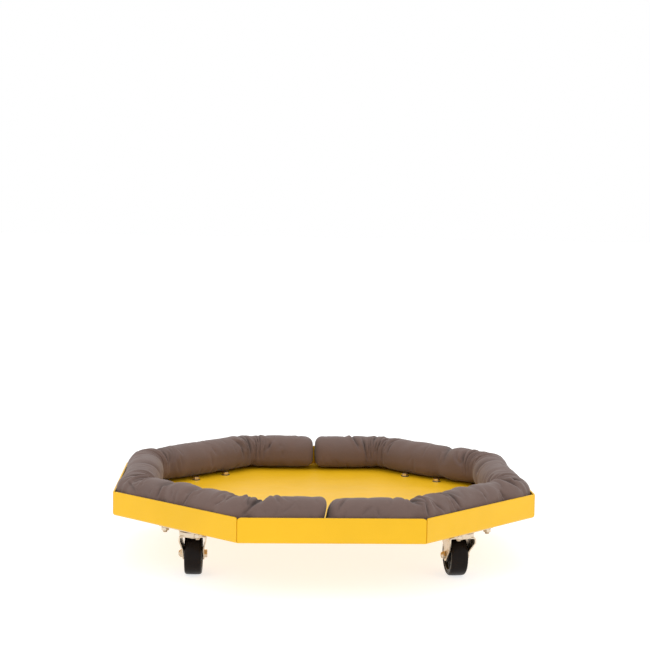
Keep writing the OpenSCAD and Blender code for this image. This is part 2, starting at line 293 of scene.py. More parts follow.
def turned(name, outline, steps=72, closed=True):
    """A piece turned about Z from (radius, height) points; an open outline ends on the axis."""
    count = len(outline)
    mesh = bpy.data.meshes.new(name)
    edges = [(k, (k + 1) % count) for k in range(count if closed else count - 1)]
    mesh.from_pydata([(radius, 0.0, height) for radius, height in outline], edges, [])

    def spin():
        bpy.ops.mesh.spin(steps=steps, angle=math.tau, center=(0, 0, 0), axis=(0, 0, 1))
        bpy.ops.mesh.select_all(action="SELECT")
        bpy.ops.mesh.remove_doubles(threshold=0.001 * MM)

    return edited(linked(name, mesh), spin)


def rod(radius, low, high, steps=72):
    """A plain round rod along Z, mostly for drilling holes."""
    return turned("rod", [(0, low), (radius, low), (radius, high), (0, high)], steps=steps, closed=False)


def prism(name, outline, low, high):
    """A solid extruded from an outline of (x, y) points, between two heights."""
    mesh = bpy.data.meshes.new(name)
    mesh.from_pydata([(x, y, low) for x, y in outline], [], [tuple(range(len(outline)))])
    return edited(linked(name, mesh), lambda: pull(0, 0, high - low))


def block(name, middle, size, tilt=0.0):
    """A box of a size about its middle, tilted about X."""
    bpy.ops.object.select_all(action="DESELECT")
    bpy.ops.mesh.primitive_cube_add(size=1, location=middle, scale=size)
    piece = named(name)
    piece.rotation_euler = (tilt, 0, 0)
    bpy.ops.object.transform_apply(location=True, rotation=True, scale=True)
    return piece


def move_mesh(piece, matrix):
    """Moves a piece's mesh, and not its object."""
    piece.data.transform(matrix)
    piece.data.update()


def apply_modifier(piece, kind, **values):
    made = piece.modifiers.new(kind.title(), kind)
    for key, value in values.items():
        setattr(made, key, value)
    select_only(piece)
    bpy.ops.object.modifier_apply(modifier=made.name)


def cut(piece, cutter, operation="DIFFERENCE"):
    """Cuts a piece with another one, which is used up."""
    apply_modifier(piece, "BOOLEAN", operation=operation, object=cutter, solver="EXACT")
    bpy.data.objects.remove(cutter)


def ease_edges(piece, width, segments=2):
    """Rounds a piece's sharp edges."""
    apply_modifier(
        piece, "BEVEL", width=width, segments=segments, limit_method="ANGLE",
        angle_limit=math.radians(40), use_clamp_overlap=True
    )


def merged(name, pieces):
    """Several pieces joined into one, under its own name."""
    select_only(pieces[0])
    for piece in pieces[1:]:
        piece.select_set(True)
    if len(pieces) > 1:
        bpy.ops.object.join()
    return named(name)


def joined(name, pieces):
    """Several shells as one piece with sharp edges kept, under its own name."""
    piece = merged(name, pieces)
    bpy.ops.object.shade_smooth_by_angle(angle=math.radians(32))
    return piece


def arc(centre, radius, start, end, steps):
    """Points of an arc in an outline, by its angles in degrees."""
    return [
        (centre[0] + radius * math.cos(math.radians(start + (end - start) * k / steps)),
         centre[1] + radius * math.sin(math.radians(start + (end - start) * k / steps)))
        for k in range(steps + 1)
    ]


def ring_outline(inner, outer, low, high, ease):
    """Section of a flat ring with eased edges."""
    return [
        (inner, low + ease), (inner + ease, low), (outer - ease, low), (outer, low + ease),
        (outer, high - ease), (outer - ease, high), (inner + ease, high), (inner, high - ease),
    ]


def rounded_path(points, radius, steps=4):
    """An open path whose inner corners are arcs."""
    path = [Vector(points[0])]
    for before, corner, after in zip(points, points[1:], points[2:]):
        corner = Vector(corner)
        back, on = (Vector(before) - corner), (Vector(after) - corner)
        half = back.angle(on) / 2
        trim = min(radius / math.tan(half), 0.45 * back.length, 0.45 * on.length)
        start, end = corner + back.normalized() * trim, corner + on.normalized() * trim
        for k in range(steps + 1):
            t = k / steps
            path.append(start * (1 - t) ** 2 + 2 * corner * t * (1 - t) + end * t ** 2)
    return path + [Vector(points[-1])]


def copy_to(model, name, matrices):
    """Copies of a model as one piece with its own mesh, whose places go into the mesh."""
    copies = []
    for matrix in matrices:
        piece = linked(name, model.data.copy())
        move_mesh(piece, matrix)
        copies.append(piece)
    return merged(name, copies)


def hexagon(width):
    corner = width / math.sqrt(3)
    return [(corner * math.cos(k * math.tau / 6), corner * math.sin(k * math.tau / 6)) for k in range(6)]


def hex_block(name, width, low, high, both=False):
    """A hexagon with its corners turned down to a cone, at the top or at both ends."""
    block = prism(name, hexagon(width), low, high)
    flat, outer, spare = 0.47 * width, 0.62 * width, 0.0004
    slope = math.tan(math.radians(30))
    drop, tip = (outer - flat) * slope, flat - spare / slope
    top = [(outer, high - drop), (tip, high + spare), (0, high + spare)]
    if both:
        foot = [(0, low - spare), (tip, low - spare), (outer, low + drop)]
    else:
        foot = [(0, low - spare), (outer, low - spare)]
    cut(block, turned("blank", foot + top, closed=False), "INTERSECT")
    return block


def thread(radius, start, end, pitch):
    """Crests and roots of a thread's outline, from one height to another."""
    turns = max(1, int(round(abs(end - start) / pitch)))
    step = (end - start) / turns
    points = []
    for k in range(turns):
        points += [(radius, start + step * (k + 0.12)), (radius - 0.55 * pitch, start + step * (k + 0.5)),
                   (radius, start + step * (k + 0.88))]
    return points


def bolt_model(radius, head_width, head_height, length, threaded):
    """Hex bolt: head above the origin, shank below it with a thread towards its tip."""
    head = hex_block("head", head_width, 0.0, head_height)
    chamfer = radius * 0.2
    outline = [(0, head_height / 2), (radius, head_height / 2), (radius, threaded - length)]
    outline += thread(radius, threaded - length, chamfer - length, THREAD_PITCH)
    outline += [(radius - chamfer, -length), (0, -length)]
    return joined("bolt", [head, turned("shank", outline, steps=40, closed=False)])


def nut_model(radius, width, height, collar=0.0):
    """Hex nut, or a lock nut with a round collar for its insert."""
    nut = hex_block("nut", width, 0.0, height - collar, both=True)
    cut(nut, turned("bore", ring_outline(0.0001, radius, -0.002, height, 0.00001), steps=40))
    parts = [nut]
    if collar:
        outer = 0.44 * width
        outline = [(radius, height - collar - 0.0005), (outer, height - collar - 0.0005)]
        outline += arc((outer - 0.0012, height - 0.0012), 0.0012, 0, 90, 4)
        outline += [(radius + 0.0012, height), (radius, height - 0.0006)]
        parts.append(turned("collar", outline, steps=48))
    return joined("nut", parts)


# ---- Settings ----


def colour_property(name, words, default):
    return bpy.props.FloatVectorProperty(
        name=name, description=words, subtype="COLOR", size=3, min=0.0, max=1.0, default=default
    )


def length_property(name, words, default):
    return bpy.props.FloatProperty(
        name=name, description=words, subtype="DISTANCE", unit="LENGTH", default=default, precision=4
    )


class DollyPanSettings(bpy.types.PropertyGroup):
    colour: colour_property("Coat", "Colour of the powder coat", (0.84, 0.475, 0.006))
    edge: length_property("Edge", "Rounding that the coat gives the sheet's edges", 0.0007)


class DollySockSettings(bpy.types.PropertyGroup):
    colour: colour_property("Fabric", "Colour of the sock's fabric", (0.134, 0.084, 0.070))
    width: length_property("Width", "Width of a sock where it lies", 0.079)
    bend: length_property("Bend", "Radius of the sock's middle line round a corner", 0.09)
    clearance: length_property("Clearance", "Space left to the floor and flanges", 0.0006)
    swell: length_property("Swell", "Most that a point moves as the sock fills", 0.011)
    corner_fill: length_property("Corner fill", "How far the sock pushes into a corner of the pan", 0.007)


class DollyCasterSettings(bpy.types.PropertyGroup):
    tread_width: length_property("Tread width", "Width of a tread", 0.0315)
    tread_thickness: length_property("Tread thickness", "Thickness of a tread", 0.008)
    ribs: bpy.props.IntProperty(name="Ribs", description="Ribs on each side of a core", default=8)
    fork_gap: length_property("Fork gap", "Distance between the inner faces of the legs", 0.0345)
    fork_sheet: length_property("Fork sheet", "Thickness of the fork's sheet", 0.0025)
    fork_end: length_property("Fork end", "Radius of a leg's end round the axle", 0.011)
    shoulder_drop: length_property("Shoulder drop", "Depth of the fork's shoulders under its roof", 0.0093)
    knee_drop: length_property("Knee drop", "Depth under the roof at which the legs turn upright", 0.0293)
    crown_radius: length_property("Crown", "Outer radius of the cup round the balls", 0.025)
    crown_height: length_property("Crown height", "Height of the cup's rim over the sheet's underside", 0.009)
    ball_circle: length_property("Ball circle", "Radius of the ring that the balls lie on", 0.0184)
    kingpin_radius: length_property("Kingpin", "Radius of the kingpin", 0.005)
    axle_radius: length_property("Axle", "Radius of the axle bolt", 0.004)
    sleeve_radius: length_property("Sleeve", "Outer radius of the sleeve that the wheel turns on", 0.006)
    plate_length: length_property("Plate length", "Length of a top plate", 0.1048)
    plate_width: length_property("Plate width", "Width of a top plate", 0.0794)
    plate_thickness: length_property("Plate thickness", "Thickness of a top plate", 0.003)
    bolts_along: length_property("Bolts along", "Distance between bolts along the plate", 0.0857)
    bolts_across: length_property("Bolts across", "Distance between bolts across the plate", 0.0572)
    bolt_radius: length_property("Bolt", "Radius of a plate bolt", 0.004)
    bolt_head: length_property("Bolt head", "Width across a plate bolt's head", 0.013)
    plating: colour_property("Plating", "Colour of the zinc plating", (0.68, 0.58, 0.46))
    tread: colour_property("Tread", "Colour of the tread", (0.007, 0.004, 0.003))
    core: colour_property("Core", "Colour of the wheel's core", (0.012, 0.010, 0.009))


class DollyStageSettings(bpy.types.PropertyGroup):
    floor: colour_property("Floor", "Colour of the floor", (0.42, 0.42, 0.42))
    eye: bpy.props.FloatVectorProperty(
        name="Eye", description="Place of the camera", subtype="XYZ", size=3,
        default=(-0.148, -2.926, 0.671)
    )
    look: bpy.props.FloatVectorProperty(
        name="Look", description="Direction that the camera looks in", size=3,
        default=(0.0511, 0.9957, -0.0776)
    )
    tilt: bpy.props.FloatProperty(
        name="Tilt", description="Turn of the camera about its own axis", subtype="ANGLE", default=0.0165
    )
    lens: bpy.props.FloatProperty(name="Lens", description="Focal length in millimetres", default=83.3)


# ---- Pan ----


class DOLLY_OT_pan(bpy.types.Operator):
    """Coat the folded pan"""

    bl_idname = "dolly.pan"
    bl_label = "Pan"

    def execute(self, context):
        settings = context.scene.dolly_pan
        pan = frame["nodes"]["deck_pan"]
        paint(pan, powder_coat(settings.colour))
        weld = pan.modifiers.new("Weld", "WELD")
        weld.merge_threshold = 0.01 * MM
        bevel = pan.modifiers.new("Bevel", "BEVEL")
        bevel.width = settings.edge
        bevel.segments = 2
        bevel.limit_method = "ANGLE"
        bevel.angle_limit = math.radians(35)
        for face in pan.data.polygons:
            face.use_smooth = True
        normals = pan.modifiers.new("Normals", "WEIGHTED_NORMAL")
        normals.keep_sharp = True
        return {"FINISHED"}


# ---- Socks ----

AROUND = 48
CELL = 0.0040
CAP_DEPTH = 0.016
SIM_FRAMES = 20
# How square a sock's section is at its sides, foot and top: 1 is an ellipse, less is squarer
SIDE_POWER, FOOT_POWER, TOP_POWER = 0.88, 0.62, 0.92
# The socks' front meeting leans: sideways for each metre up, from this place at the floor
LEAN_SLOPE, LEAN_FOOT = 0.26, -0.019
SMALL_WAISTS, BEND_CREASES, SMALL_CREASES = 70, 15, 150
CREASE_WIDTH = 0.0024
DEEPEST = 0.0075
FULL_SHADE = 0.0045
# Where a sock is drawn in: place along it from the front, slant, depth as a share, and width
LEFT_WAISTS = (
    (0.122, 0.020, 0.13, 0.010),
    (0.300, 0.004, 0.09, 0.009),
    (0.362, -0.010, 0.10, 0.010),
    (0.205, -0.012, 0.05, 0.016),
    (0.452, 0.002, 0.10, 0.012),
    (0.480, -0.006, 0.10, 0.009),
    (0.640, 0.010, 0.07, 0.014),
    (0.835, -0.008, 0.08, 0.012),
    (1.120, 0.012, 0.09, 0.012),
)
RIGHT_WAISTS = (
    (0.150, -0.004, 0.10, 0.010),
    (0.205, -0.014, 0.07, 0.010),
    (0.243, 0.010, 0.10, 0.009),
    (0.392, 0.000, 0.08, 0.012),
    (0.445, 0.010, 0.11, 0.012),
    (0.480, -0.004, 0.11, 0.010),
    (0.700, 0.008, 0.07, 0.014),
    (0.905, -0.010, 0.09, 0.012),
    (1.080, 0.006, 0.07, 0.013),
)
# Angles round the sock, from its outer side, that the wide dips reach between
DIP_START, DIP_END = 0.8, 3.1
# Wide dips over the top: place and slant along the fabric, depth in mm and width
LEFT_DIPS = (
    (0.128, -0.016, 5.5, 0.010), (0.196, -0.010, 2.5, 0.008), (0.292, -0.010, 4.0, 0.009),
    (0.368, -0.012, 4.0, 0.010), (0.455, 0.004, 4.0, 0.009), (0.500, -0.004, 3.5, 0.009),
    (0.640, 0.010, 4.0, 0.011), (0.840, -0.008, 4.0, 0.010), (1.090, 0.012, 4.0, 0.010),
)
RIGHT_DIPS = (
    (0.022, 0.008, 2.0, 0.008), (0.152, -0.008, 6.0, 0.009), (0.246, -0.012, 4.5, 0.009),
    (0.268, -0.004, 3.0, 0.007), (0.345, 0.010, 2.5, 0.010), (0.452, 0.010, 5.0, 0.009),
    (0.492, -0.004, 5.0, 0.009), (0.700, 0.008, 4.0, 0.011), (0.905, -0.010, 4.0, 0.010),
)
# Creases: from (place, degrees round from the outer side) to (place, degrees), then depth in mm
LEFT_CREASES = (
    (0.154, 8, 0.126, 118, 5.0),
    (0.136, 60, 0.108, 96, 2.4),
    (0.300, 5, 0.292, 74, 5.0),
    (0.292, 60, 0.276, 92, 2.2),
    (0.368, 10, 0.372, 64, 4.2),
    (0.372, 60, 0.352, 104, 3.2),
    (0.222, 30, 0.206, 58, 2.6),
    (0.206, 58, 0.222, 84, 2.2),
    (0.330, 20, 0.338, 50, 1.8),
    (0.420, 15, 0.470, 55, 3.4),
    (0.090, 15, 0.060, 60, 1.8),
)
RIGHT_CREASES = (
    (0.012, 20, 0.030, 95, 3.2),
    (0.052, 15, 0.070, 48, 2.6),
    (0.082, 10, 0.078, 46, 2.4),
    (0.168, 8, 0.172, 62, 4.6),
    (0.172, 58, 0.150, 112, 3.6),
    (0.212, 12, 0.192, 66, 3.8),
    (0.192, 66, 0.186, 100, 2.4),
    (0.246, 10, 0.240, 74, 4.6),
    (0.240, 70, 0.224, 108, 3.2),
    (0.262, 10, 0.258, 86, 4.8),
    (0.258, 80, 0.246, 120, 3.0),
    (0.398, 10, 0.394, 48, 4.0),
    (0.470, 70, 0.492, 112, 5.0),
    (0.452, 64, 0.478, 86, 3.6),
)


class SockPath:
    """The middle line of a half ring, measured along the fabric's outer side."""

    def __init__(self, apothem, bend, width):
        run = (apothem - bend) * math.tan(EIGHTH / 2)
        self.apothem, self.bend, self.half_width = apothem, bend, width / 2
        outer = (bend + width / 2) * EIGHTH
        self.pieces = [("run", run)]
        self.bends = []
        for corner in range(4):
            self.bends.append(run * (1 + 2 * corner) + outer * (corner + 0.5))
            self.pieces.append(("bend", outer))
            self.pieces.append(("run", 2 * run if corner < 3 else run))
        self.length = sum(length for _, length in self.pieces)

    def at(self, along):
        """(place, heading) at a fabric length along, clamped to the path's ends."""
        place, heading = Vector((0.0, -self.apothem)), 0.0
        for kind, length in self.pieces:
            part = min(max(along, 0.0), length)
            if kind == "run":
                place = place + part * Vector((math.cos(heading), math.sin(heading)))
            else:
                turn = part / (self.bend + self.half_width)
                left = Vector((-math.sin(heading), math.cos(heading)))
                centre = place + self.bend * left
                heading += turn
                place = centre + self.bend * Vector((math.sin(heading), -math.cos(heading)))
            along -= length
            if along <= 0:
                break
        return place, heading


def sock_section(angle, half_width, height):
    """Point of the sock's cross-section at an angle from its outer side: (outwards, up)."""
    c, s = math.cos(angle), math.sin(angle)
    out = math.copysign(abs(c) ** SIDE_POWER, c) * half_width
    power = FOOT_POWER if s < 0 else TOP_POWER
    return out, height / 2 + math.copysign(abs(s) ** power, s) * height / 2


def lean(height, floor):
    """How far the front meeting of the socks lies to one side, at a height."""
    return LEAN_SLOPE * (height - floor) + LEAN_FOOT


def make_waists(named_waists, length, dice):
    """The named waists and small uneven ones: place, slant, depth, width, side and spread."""
    waists = [(place, slant, depth, width, 0.9, 1.0) for place, slant, depth, width in named_waists]
    for _ in range(SMALL_WAISTS):
        waists.append((
            dice.uniform(0.02, length), dice.uniform(-0.03, 0.03), dice.uniform(0.015, 0.05),
            dice.uniform(0.006, 0.016), dice.uniform(0.0, math.tau), 0.5,
        ))
    return waists


def drawn_in(waists, along, angle):
    """How much narrower the waists draw the sock in at a place."""
    share = 0.0
    for place, slant, depth, width, side, even in waists:
        away = along - place - slant * math.cos(angle)
        if abs(away) < 3 * width:
            facing = even + (1 - even) * math.cos(angle - side)
            share += depth * facing * math.exp(-((away / width) ** 2))
    return min(max(share, -0.05), 0.24)


def make_creases(named_creases, dips, path, dice):
    """Every crease as (place, angle, place, angle, depth, width), in metres and radians."""
    creases = [
        (place - slant, DIP_START, place + slant, DIP_END, depth * MM, width)
        for place, slant, depth, width in dips
    ]
    for start, first, end, last, depth in named_creases:
        creases.append((start, math.radians(first), end, math.radians(last), depth * MM, CREASE_WIDTH))
    for bend in path.bends:
        for k in range(BEND_CREASES):
            place = bend + (k - BEND_CREASES // 2) * 0.0085 + dice.uniform(-0.003, 0.003)
            inner = math.radians(dice.uniform(168, 196))
            outer = math.radians(dice.choice((40, 62, 84, 104, 120)))
            spread = (place - bend) * dice.uniform(0.0, 0.5) + dice.uniform(-0.006, 0.006)
            depth = dice.uniform(2.0, 4.8) * MM
            creases.append((place, inner, place + spread, outer, depth, dice.uniform(0.0022, 0.0036)))
    for _ in range(SMALL_CREASES):
        place, angle = dice.uniform(0.015, path.length - 0.015), math.radians(dice.uniform(-20, 215))
        reach, turn = dice.uniform(0.006, 0.024), dice.uniform(0.25, 1.0)
        slant = dice.uniform(-0.8, 0.8) * reach
        depth = dice.uniform(0.5, 1.7) * MM
        creases.append((place, angle, place + slant, angle + turn, depth, dice.uniform(0.0018, 0.0034)))
    return creases


def press_creases(points, normals, cut, girth_radius, creases):
    """Presses the creases into the filled sock; returns its points and how deep each one lies."""
    along, around = cut[:, 0], cut[:, 1]
    sunk = np.zeros(len(points))
    for start, first, end, last, depth, width in creases:
        for wrap in (-1, 0, 1):
            tail = np.array((start, (first + wrap * math.tau) * girth_radius))
            way = np.array((end, (last + wrap * math.tau) * girth_radius)) - tail
            length = np.linalg.norm(way)
            way = way / length
            offset = np.stack((along, around), 1) - tail
            run = offset @ way / length
            side = offset @ np.array((-way[1], way[0]))
            bow = 0.06 * length * np.sin(np.clip(run, 0, 1) * math.pi)
            side = side - bow
            near = (run > 0) & (run < 1) & (np.abs(side) < 6 * width)
            taper = np.sin(np.clip(run[near], 0, 1) * math.pi) ** 0.6
            valley = np.exp(-np.abs(side[near] / width) ** 1.25)
            lip = 0.42 * np.exp(-((side[near] - 2.4 * width) / (1.3 * width)) ** 2)
            sunk[near] += depth * taper * (valley - lip)
    sunk = np.minimum(sunk, DEEPEST)
    return points - normals * sunk[:, None], sunk


def sock_stations(length, tip):
    """(place along the fabric, share of the full girth) of every ring, from end to end."""
    rounding = [(tip, 0.12), (tip, 0.32), (tip, 0.5)]
    for step in range(1, 5):
        turn = math.radians(90 * step / 5)
        rounding.append((tip + CAP_DEPTH * (1 - math.cos(turn)), 0.5 + 0.5 * math.sin(turn)))
    first, last = tip + CAP_DEPTH, length - tip - CAP_DEPTH
    count = int(round((last - first) / CELL))
    body = [(first + (last - first) * k / count, 1.0) for k in range(count + 1)]
    tail = [(length - along, share) for along, share in reversed(rounding)]
    return rounding + body + tail


def sock_mesh(name, side, path, settings, low, height, waists):
    """A closed tube along the path, with the shape it was cut to as its shape key.

    Returns it with its points and how far each one gives into the pan's corners.
    """
    girth_radius = (settings.width + height) / 4
    stations = sock_stations(path.length, 2 * settings.clearance)
    lies, cut, push = [], [], []
    for along, share in stations:
        place, heading = path.at(along)
        out = Vector((math.sin(heading), -math.cos(heading)))
        pulled = max(0.0, 1 - along / 0.07)
        fill = settings.corner_fill * sum(
            math.exp(-(((along - bend) / 0.05) ** 2)) for bend in path.bends
        )
        for k in range(AROUND):
            angle = math.tau * k / AROUND
            narrow = drawn_in(waists, along, angle)
            size = (1 - narrow) * share * 0.94
            across, up = sock_section(angle, settings.width / 2, height)
            spot = place + out * across * size
            level = low + height / 2 + (up - height / 2) * size
            lies.append((spot.x * side + pulled * lean(level, low), spot.y, level))
            push.append((out.x * side * fill, out.y * fill, 0.0))
            radius = girth_radius * (1 - 0.75 * narrow) * share
            cut.append((along * side, -radius * math.cos(angle), radius * math.sin(angle)))
    rings = len(stations)
    faces = []
    for ring in range(rings - 1):
        for k in range(AROUND):
            a, b = ring * AROUND + k, ring * AROUND + (k + 1) % AROUND
            faces.append((a, b, b + AROUND, a + AROUND))
    faces.append(tuple(reversed(range(AROUND))))
    faces.append(tuple((rings - 1) * AROUND + k for k in range(AROUND)))
    if side > 0:
        faces = [tuple(reversed(face)) for face in faces]
    mesh = bpy.data.meshes.new(name)
    mesh.from_pydata(lies, [], faces)
    layer = mesh.uv_layers.new(name="cut")
    for face in mesh.polygons:
        columns = [mesh.loops[loop].vertex_index % AROUND for loop in face.loop_indices]
        wraps = len(columns) == 4 and max(columns) - min(columns) > 1
        for loop, column in zip(face.loop_indices, columns):
            ring = mesh.loops[loop].vertex_index // AROUND
            turn = column + (AROUND if wraps and column == 0 else 0)
            layer.data[loop].uv = (stations[ring][0], turn / AROUND * math.tau * girth_radius)
    piece = linked(name, mesh)
    piece.shape_key_add(name="Basis")
    key = piece.shape_key_add(name="cut")
    key.data.foreach_set("co", np.array(cut, np.float32).ravel())
    return piece, np.array(lies), np.array(push)


def make_mould(apothem, low, top):
    """What the socks fill out against: floor, flanges and the leaning plane between their ends."""
    corner = apothem / math.cos(EIGHTH / 2)
    ring = [Vector((math.cos(a), math.sin(a))) * corner for a in
            (EIGHTH * (k + 0.5) for k in range(8))]
    points = [(v.x, v.y, low) for v in ring] + [(v.x, v.y, top) for v in ring]
    faces = [tuple(range(8))] + [(8 + k, 8 + (k + 1) % 8, (k + 1) % 8, k) for k in range(8)]
    shell = bpy.data.meshes.new("mould")
    shell.from_pydata(points, [], faces)
    divider = bpy.data.meshes.new("divider")
    foot, head, out, centre = low - 0.01, low + 0.12, -apothem - 0.02, -apothem / 2
    divider.from_pydata(
        [(lean(foot, low), out, foot), (lean(head, low), out, head),
         (lean(foot, low), centre, foot), (lean(head, low), centre, head),
         (0.0, -out, foot), (0.0, -out, head), (0.0, -centre, foot), (0.0, -centre, head)],
        [], [(0, 2, 3, 1), (2, 6, 7, 3), (6, 4, 5, 7)]
    )
    mould = [linked("mould", shell), linked("divider", divider)]
    for piece in mould:
        piece.modifiers.new("Collision", "COLLISION")
        piece.collision.thickness_outer = 0.0008
        piece.collision.thickness_inner = 0.004
        piece.collision.cloth_friction = 4.0
    mould[1].collision.use_culling = False
    return mould


def fill_sock(piece):
    """Fills the sock by cloth simulation, from its rest lengths, and returns its points."""
    cloth = piece.modifiers.new("Cloth", "CLOTH")
    settings = cloth.settings
    settings.quality = 6
    settings.mass = 0.15
    settings.air_damping = 2.0
    settings.tension_stiffness = 20
    settings.compression_stiffness = 12
    settings.shear_stiffness = 6
    settings.bending_stiffness = 0.15
    settings.use_pressure = True
    settings.uniform_pressure_force = 4.0
    settings.effector_weights.gravity = 0
    settings.rest_shape_key = piece.data.shape_keys.key_blocks["cut"]
    cloth.collision_settings.use_collision = True
    cloth.collision_settings.collision_quality = 3
    cloth.collision_settings.distance_min = 0.0008
    cloth.point_cache.frame_start = 1
    cloth.point_cache.frame_end = SIM_FRAMES
    scene = bpy.context.scene
    for step in range(1, SIM_FRAMES + 1):
        scene.frame_set(step)
    shaped = piece.evaluated_get(bpy.context.evaluated_depsgraph_get()).data
    points = np.zeros(len(shaped.vertices) * 3, np.float32)
    shaped.vertices.foreach_get("co", points)
    piece.modifiers.remove(cloth)
    scene.frame_set(1)
    return points.reshape(-1, 3)


def held_in(points, apothem, low, top, wall_top):
    """The points, kept inside the pan's walls and the frame's box."""
    over = 0.003
    for k in range(8):
        normal = np.array((math.cos(EIGHTH * k), math.sin(EIGHTH * k)))
        reach = points[:, :2] @ normal
        limit = np.where(points[:, 2] < wall_top, apothem, apothem + over)
        points[:, :2] -= np.maximum(reach - limit, 0.0)[:, None] * normal
    points[:, 2] = np.clip(points[:, 2], low, top)
    return points


def capped(points, before, most):
    """The filled points, none of them moved further than the most that a sock swells."""
    moved = points - before
    length = np.linalg.norm(moved, axis=1, keepdims=True)
    return before + moved * np.minimum(1.0, most / np.maximum(length, 1e-9))


def lay_out(piece, points):
    """Puts a piece's points in their places."""
    piece.data.vertices.foreach_set("co", points.astype(np.float32).ravel())
    piece.data.update()


def point_data(piece):
    """Places, normals and cut coordinates of a piece's points."""
    mesh = piece.data
    count = len(mesh.vertices)
    points, normals = np.zeros(count * 3, np.float32), np.zeros(count * 3, np.float32)
    mesh.vertices.foreach_get("co", points)
    mesh.vertices.foreach_get("normal", normals)
    corners, uvs = np.zeros(len(mesh.loops), np.int32), np.zeros(len(mesh.loops) * 2, np.float32)
    mesh.loops.foreach_get("vertex_index", corners)
    mesh.uv_layers["cut"].data.foreach_get("uv", uvs)
    cut = np.zeros((count, 2))
    cut[corners] = uvs.reshape(-1, 2)
    return points.reshape(-1, 3).astype(float), normals.reshape(-1, 3).astype(float), cut


class DOLLY_OT_socks(bpy.types.Operator):
    """Fill the two absorbent socks"""

    bl_idname = "dolly.socks"
    bl_label = "Socks"

    def execute(self, context):
        settings = context.scene.dolly_socks
        material = sock_fabric(settings.colour)
        low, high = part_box("sock_right")
        height = high.z - low.z
        wall_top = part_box("deck_pan")[1].z
        girth_radius = (settings.width + height) / 4
        path = SockPath(high.x - settings.width / 2, settings.bend, settings.width)
        room = (high.x, low.z, high.z + 0.006, wall_top)
        mould = make_mould(high.x, low.z, wall_top)
        for name, side, named_waists, dips, named_creases, seed in (
            ("left", -1, LEFT_WAISTS, LEFT_DIPS, LEFT_CREASES, 5),
            ("right", 1, RIGHT_WAISTS, RIGHT_DIPS, RIGHT_CREASES, 11),
        ):
            dice = random.Random(seed)
            waists = make_waists(named_waists, path.length, dice)
            creases = make_creases(named_creases, dips, path, dice)
            piece, before, push = sock_mesh(
                f"absorbent_sock_{name}", side, path, settings, low.z, height, waists)
            points = fill_sock(piece)
            piece.shape_key_clear()
            points = held_in(capped(points, before, settings.swell) + push, *room)
            lay_out(piece, points)
            apply_modifier(piece, "SUBSURF", levels=1, render_levels=1)
            points, normals, cut = point_data(piece)
            points, sunk = press_creases(points, normals, cut, girth_radius, creases)
            lay_out(piece, held_in(points, *room))
            apply_modifier(piece, "SMOOTH", factor=0.35, iterations=2)
            # Painted shade: each point's crease depth, as a share of FULL_SHADE, darkens the fabric.
            crease_shade_layer = piece.data.attributes.new("crease_shade", "FLOAT", "POINT")
            shade = np.clip(sunk / FULL_SHADE, 0, 1) ** 1.6
            crease_shade_layer.data.foreach_set("value", shade.astype(np.float32))
            piece.data.update()
            select_only(piece)
            bpy.ops.object.shade_smooth()
            paint(piece, material)
            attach(piece, f"sock_{name}")
            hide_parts(f"sock_{name}")
        for piece in mould:
            bpy.data.objects.remove(piece)
        return {"FINISHED"}


# ---- Casters ----

THREAD_PITCH = 0.00125
PLAY = 0.00005


class CasterPlace:
    """Where a caster stands: on its kingpin, its X pointing the way it trails."""

    def __init__(self, corner):
        kingpin = Vector(JOINTS[f"{corner}_swivel_turn"]["pos_m"])
        axle = Vector(JOINTS[f"{corner}_wheel_spin"]["pos_m"])
        self.trail = (axle - kingpin).xy.length
        self.axle_height = axle.z
        heading = math.atan2(axle.y - kingpin.y, axle.x - kingpin.x)
        outwards = math.atan2(kingpin.y, kingpin.x)
        upright = Matrix.Translation((kingpin.x, kingpin.y, 0))
        self.matrix = upright @ Matrix.Rotation(heading, 4, "Z")
        self.plate_matrix = upright @ Matrix.Rotation(outwards, 4, "Z")
        on_axle = Matrix.Translation((self.trail, 0, axle.z)) @ Matrix.Rotation(-math.pi / 2, 4, "X")
        self.axle_matrix = self.matrix @ on_axle


PLACES = {corner: CasterPlace(corner) for corner in CORNERS}


def levels(node):
    """Lowest and highest level of a CAD node."""
    low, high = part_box(node)
    return low.z, high.z


def heights(part):
    """Lowest and highest level of a caster's part, the same on every caster."""
    return levels(f"{CORNERS[0]}_{part}")


def fit_out(model, part, body, material, matrix_name="matrix"):
    """Puts a copy of a model on every caster, in place of the plain part."""
    for corner, place in PLACES.items():
        piece = copy_to(model, f"{corner}_{model.name}", [getattr(place, matrix_name)])
        paint(piece, material)
        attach(piece, body.format(corner=corner))
        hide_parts(f"{corner}_{part}")
    bpy.data.objects.remove(model)


def tread_model(settings, radius, width):
    """Smooth tread: crowned a little, round shouldered, with a step down to the core's rim."""
    edge, inner = 0.0045, radius - settings.tread_thickness
    half = width / 2
    crown = 0.0004
    lip = 0.0012
    outline = [(inner, -half + lip), (inner + 0.0008, -half + lip / 2), (inner + 0.0022, -half)]
    outline += arc((radius - crown - edge, -half + edge), edge, -90, 0, 7)
    outline += [(radius - crown / 3, -half / 2), (radius, 0), (radius - crown / 3, half / 2)]
    outline += arc((radius - crown - edge, half - edge), edge, 0, 90, 7)
    outline += [(inner + 0.0022, half), (inner + 0.0008, half - lip / 2), (inner, half - lip)]
    return joined("smooth_tread", [turned("tread", outline, steps=96)])


